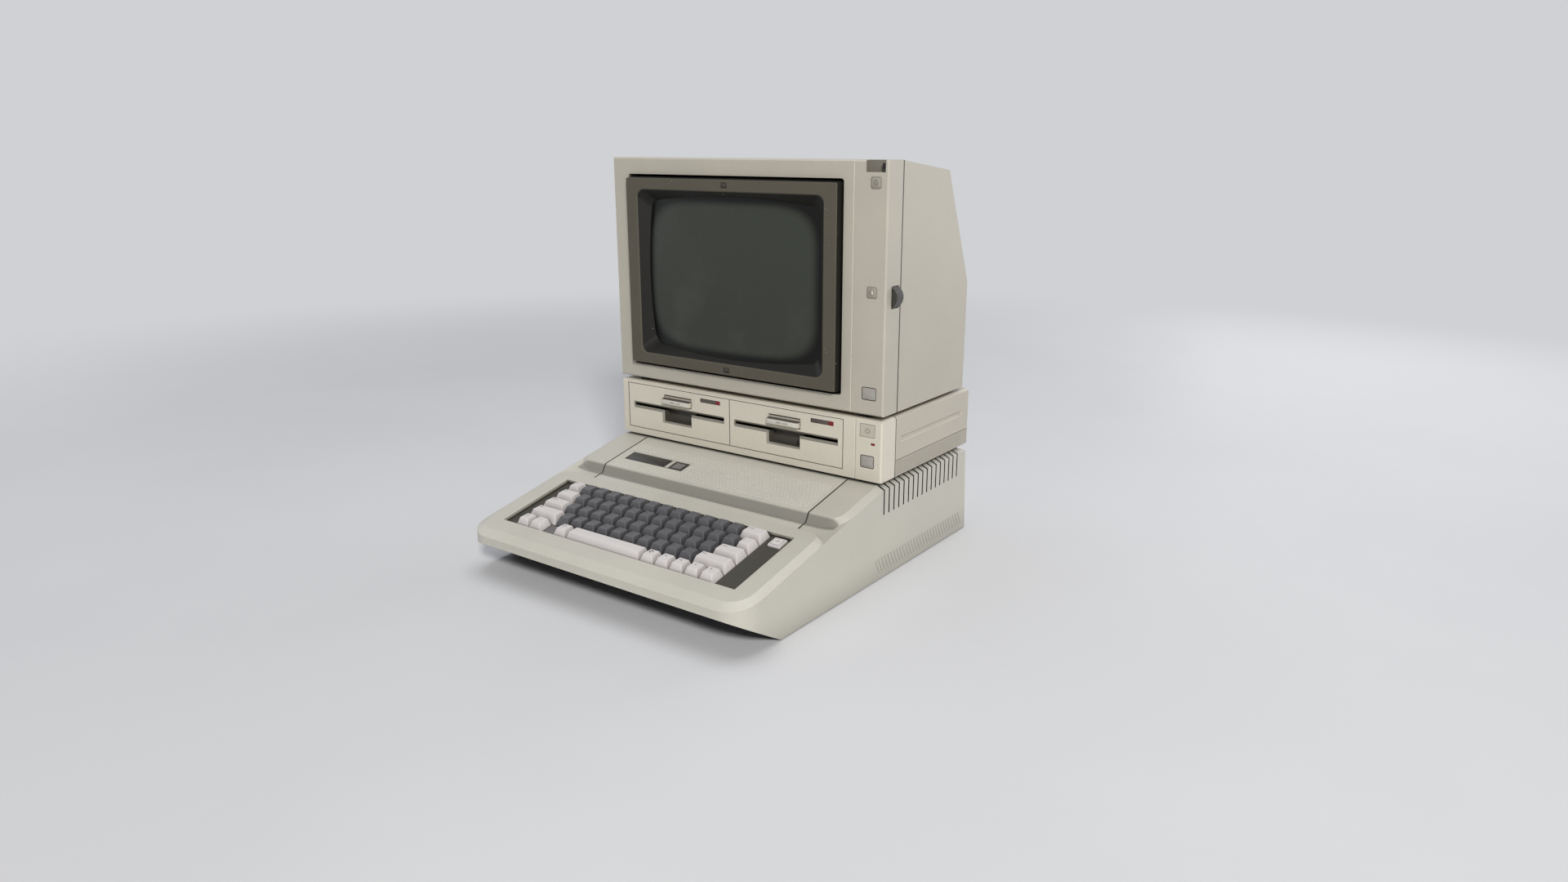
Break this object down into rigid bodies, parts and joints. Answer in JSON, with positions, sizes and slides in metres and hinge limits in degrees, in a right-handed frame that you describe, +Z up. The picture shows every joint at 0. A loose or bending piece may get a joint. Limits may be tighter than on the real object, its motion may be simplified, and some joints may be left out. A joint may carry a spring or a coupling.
{
  "type": "desktop computer stack",
  "caption": "Desktop computer in three stacked units: a wedge case with a built-in keyboard, a double disk drive and a monitor whose dark screen frame tilts.",
  "frame": {"origin": "on the desk, in the middle of the footprint", "axes": "+X to the right as the user sits, +Y away from the user to the rear, +Z up"},
  "size_m": [0.383, 0.4428, 0.4353],
  "materials": {
    "case_plastic": "fine matt texture, warm grey beige",
    "lid_plastic": "fine matt texture, warm grey beige",
    "monitor_plastic": "fine matt texture, warm grey beige",
    "drive_plastic": "fine matt texture, warm grey beige",
    "name_plate": "dark, smooth",
    "pan_plastic": "dark, matt",
    "foot_rubber": "dull black",
    "screw_steel": "zinc plated",
    "light_key": "pale grey, slight pink",
    "dark_key": "dark grey",
    "switch_plastic": "black",
    "surround_plastic": "dark olive, fine matt",
    "plate_steel": "dull sheet steel",
    "circuit_board": "green solder mask",
    "tile_plastic": "mid grey",
    "chip_plastic": "black",
    "connector_plastic": "black",
    "supply_sheet": "folded sheet",
    "inlet_plastic": "black",
    "rocker_plastic": "dark red",
    "button_plastic": "matt beige",
    "lamp_plastic": "smoked grey with red lenses",
    "latch_plastic": "matt beige",
    "chassis_steel": "dull sheet steel",
    "hub_metal": "turned",
    "carriage_plastic": "black",
    "screen_frame_plastic": "dark olive grey, fine matt",
    "tube_glass": "dark grey green, polished",
    "coil_copper": "varnished windings",
    "pin_steel": "turned",
    "wheel_plastic": "dark grey",
    "small_switch": "dark grey"
  },
  "bodies": {
    "stack": {"blank_tile": "tile_plastic", "board_chips": "chip_plastic", "board_connectors": "connector_plastic", "bottom_pan": "pan_plastic", "case_screws": "screw_steel", "case_shell": "case_plastic", "drive_boards": "circuit_board", "drive_case": "drive_plastic", "drive_faces": "drive_plastic", "drive_fascia": "drive_plastic", "drive_lamps": "lamp_plastic", "drive_pan": "drive_plastic", "key_switches": "switch_plastic", "keyboard_board": "circuit_board", "keyboard_surround": "surround_plastic", "left_chassis": "chassis_steel", "lid_name_plate": "name_plate", "main_board": "circuit_board", "mains_inlet": "inlet_plastic", "monitor_bezel": "monitor_plastic", "monitor_board": "circuit_board", "monitor_housing": "monitor_plastic", "power_supply": "supply_sheet", "right_chassis": "chassis_steel", "rubber_feet": "foot_rubber", "switch_plate": "plate_steel", "tilt_pins": "pin_steel", "top_lid": "lid_plastic"},
    "escape_key": {"escape_key": "light_key"},
    "delete_key": {"delete_key": "light_key"},
    "tab_key": {"tab_key": "light_key"},
    "backslash_key": {"backslash_key": "light_key"},
    "control_key": {"control_key": "light_key"},
    "return_key": {"return_key": "light_key"},
    "left_shift_key": {"left_shift_key": "light_key"},
    "right_shift_key": {"right_shift_key": "light_key"},
    "caps_lock_key": {"caps_lock_key": "light_key"},
    "accent_key": {"accent_key": "light_key"},
    "left_command_key": {"left_command_key": "light_key"},
    "space_bar": {"space_bar": "light_key"},
    "right_command_key": {"right_command_key": "light_key"},
    "arrow_keys": {"arrow_keys": "light_key"},
    "reset_key": {"reset_key": "light_key"},
    "number_row_keys": {"number_row_keys": "dark_key"},
    "upper_row_keys": {"upper_row_keys": "dark_key"},
    "home_row_keys": {"home_row_keys": "dark_key"},
    "lower_row_keys": {"lower_row_keys": "dark_key"},
    "left_latch": {"left_latch": "latch_plastic"},
    "left_spindle": {"left_spindle": "hub_metal"},
    "left_head_carriage": {"left_head_carriage": "carriage_plastic"},
    "right_latch": {"right_latch": "latch_plastic"},
    "right_spindle": {"right_spindle": "hub_metal"},
    "right_head_carriage": {"right_head_carriage": "carriage_plastic"},
    "drive_power_button": {"drive_power_button": "button_plastic"},
    "monitor_power_button": {"monitor_power_button": "small_switch"},
    "contrast_wheel": {"contrast_wheel": "wheel_plastic"},
    "mains_rocker": {"mains_rocker": "rocker_plastic"},
    "screen": {"screen_frame": "screen_frame_plastic", "picture_tube": "tube_glass", "deflection_yoke": "coil_copper"}
  },
  "joints": [
    {"name": "escape_key_press", "type": "slide", "parent": "stack", "child": "escape_key", "axis": [0, 0.2173, -0.9761], "range_m": [0, 0.0038], "stiffness_N_per_m": 120, "springref_m": -0.002},
    {"name": "delete_key_press", "type": "slide", "parent": "stack", "child": "delete_key", "axis": [0, 0.2173, -0.9761], "range_m": [0, 0.0038], "stiffness_N_per_m": 120, "springref_m": -0.002},
    {"name": "tab_key_press", "type": "slide", "parent": "stack", "child": "tab_key", "axis": [0, 0.2173, -0.9761], "range_m": [0, 0.0038], "stiffness_N_per_m": 120, "springref_m": -0.002},
    {"name": "backslash_key_press", "type": "slide", "parent": "stack", "child": "backslash_key", "axis": [0, 0.2173, -0.9761], "range_m": [0, 0.0038], "stiffness_N_per_m": 120, "springref_m": -0.002},
    {"name": "control_key_press", "type": "slide", "parent": "stack", "child": "control_key", "axis": [0, 0.2173, -0.9761], "range_m": [0, 0.0038], "stiffness_N_per_m": 120, "springref_m": -0.002},
    {"name": "return_key_press", "type": "slide", "parent": "stack", "child": "return_key", "axis": [0, 0.2173, -0.9761], "range_m": [0, 0.0038], "stiffness_N_per_m": 120, "springref_m": -0.002},
    {"name": "left_shift_key_press", "type": "slide", "parent": "stack", "child": "left_shift_key", "axis": [0, 0.2173, -0.9761], "range_m": [0, 0.0038], "stiffness_N_per_m": 120, "springref_m": -0.002},
    {"name": "right_shift_key_press", "type": "slide", "parent": "stack", "child": "right_shift_key", "axis": [0, 0.2173, -0.9761], "range_m": [0, 0.0038], "stiffness_N_per_m": 120, "springref_m": -0.002},
    {"name": "caps_lock_key_press", "type": "slide", "parent": "stack", "child": "caps_lock_key", "axis": [0, 0.2173, -0.9761], "range_m": [0, 0.0038], "stiffness_N_per_m": 120, "springref_m": -0.002},
    {"name": "accent_key_press", "type": "slide", "parent": "stack", "child": "accent_key", "axis": [0, 0.2173, -0.9761], "range_m": [0, 0.0038], "stiffness_N_per_m": 120, "springref_m": -0.002},
    {"name": "left_command_key_press", "type": "slide", "parent": "stack", "child": "left_command_key", "axis": [0, 0.2173, -0.9761], "range_m": [0, 0.0038], "stiffness_N_per_m": 120, "springref_m": -0.002},
    {"name": "space_bar_press", "type": "slide", "parent": "stack", "child": "space_bar", "axis": [0, 0.2173, -0.9761], "range_m": [0, 0.0038], "stiffness_N_per_m": 180, "springref_m": -0.002},
    {"name": "right_command_key_press", "type": "slide", "parent": "stack", "child": "right_command_key", "axis": [0, 0.2173, -0.9761], "range_m": [0, 0.0038], "stiffness_N_per_m": 120, "springref_m": -0.002},
    {"name": "arrow_keys_press", "type": "slide", "parent": "stack", "child": "arrow_keys", "axis": [0, 0.2173, -0.9761], "range_m": [0, 0.0038], "stiffness_N_per_m": 480, "springref_m": -0.002},
    {"name": "reset_key_press", "type": "slide", "parent": "stack", "child": "reset_key", "axis": [0, 0.2173, -0.9761], "range_m": [0, 0.0015], "stiffness_N_per_m": 120, "springref_m": -0.002},
    {"name": "number_row_keys_press", "type": "slide", "parent": "stack", "child": "number_row_keys", "axis": [0, 0.2173, -0.9761], "range_m": [0, 0.0038], "stiffness_N_per_m": 1440, "springref_m": -0.002},
    {"name": "upper_row_keys_press", "type": "slide", "parent": "stack", "child": "upper_row_keys", "axis": [0, 0.2173, -0.9761], "range_m": [0, 0.0038], "stiffness_N_per_m": 1440, "springref_m": -0.002},
    {"name": "home_row_keys_press", "type": "slide", "parent": "stack", "child": "home_row_keys", "axis": [0, 0.2173, -0.9761], "range_m": [0, 0.0038], "stiffness_N_per_m": 1320, "springref_m": -0.002},
    {"name": "lower_row_keys_press", "type": "slide", "parent": "stack", "child": "lower_row_keys", "axis": [0, 0.2173, -0.9761], "range_m": [0, 0.0038], "stiffness_N_per_m": 1200, "springref_m": -0.002},
    {"name": "left_latch_turn", "type": "hinge", "parent": "stack", "child": "left_latch", "pos_m": [-0.0963, 0.0267, 0.154], "axis": [-1, 0, 0], "range_deg": [0, 40]},
    {"name": "left_spindle_spin", "type": "hinge", "parent": "stack", "child": "left_spindle", "pos_m": [-0.0963, 0.0985, 0.13], "axis": [0, 0, 1], "continuous": true},
    {"name": "left_head_travel", "type": "slide", "parent": "stack", "child": "left_head_carriage", "axis": [0, 1, 0], "range_m": [0, 0.0206]},
    {"name": "right_latch_turn", "type": "hinge", "parent": "stack", "child": "right_latch", "pos_m": [0.0604, 0.0267, 0.154], "axis": [-1, 0, 0], "range_deg": [0, 40]},
    {"name": "right_spindle_spin", "type": "hinge", "parent": "stack", "child": "right_spindle", "pos_m": [0.0604, 0.0985, 0.13], "axis": [0, 0, 1], "continuous": true},
    {"name": "right_head_travel", "type": "slide", "parent": "stack", "child": "right_head_carriage", "axis": [0, 1, 0], "range_m": [0, 0.0206]},
    {"name": "drive_power_press", "type": "slide", "parent": "stack", "child": "drive_power_button", "axis": [0, 1, 0], "range_m": [0, 0.002], "stiffness_N_per_m": 400, "springref_m": -0.001},
    {"name": "monitor_power_press", "type": "slide", "parent": "stack", "child": "monitor_power_button", "axis": [0, 1, 0], "range_m": [0, 0.002], "stiffness_N_per_m": 400, "springref_m": -0.001},
    {"name": "contrast_turn", "type": "hinge", "parent": "stack", "child": "contrast_wheel", "pos_m": [0.1804, 0.0418, 0.3003], "axis": [0, 1, 0], "range_deg": [-140, 140]},
    {"name": "mains_rocker_tip", "type": "hinge", "parent": "stack", "child": "mains_rocker", "pos_m": [-0.118, 0.21141, 0.044], "axis": [1, 0, 0], "range_deg": [-16, 0]},
    {"name": "screen_tilt", "type": "hinge", "parent": "stack", "child": "screen", "pos_m": [-0.0138, 0.0315, 0.3058], "axis": [1, 0, 0], "range_deg": [-5, 5]}
  ]
}
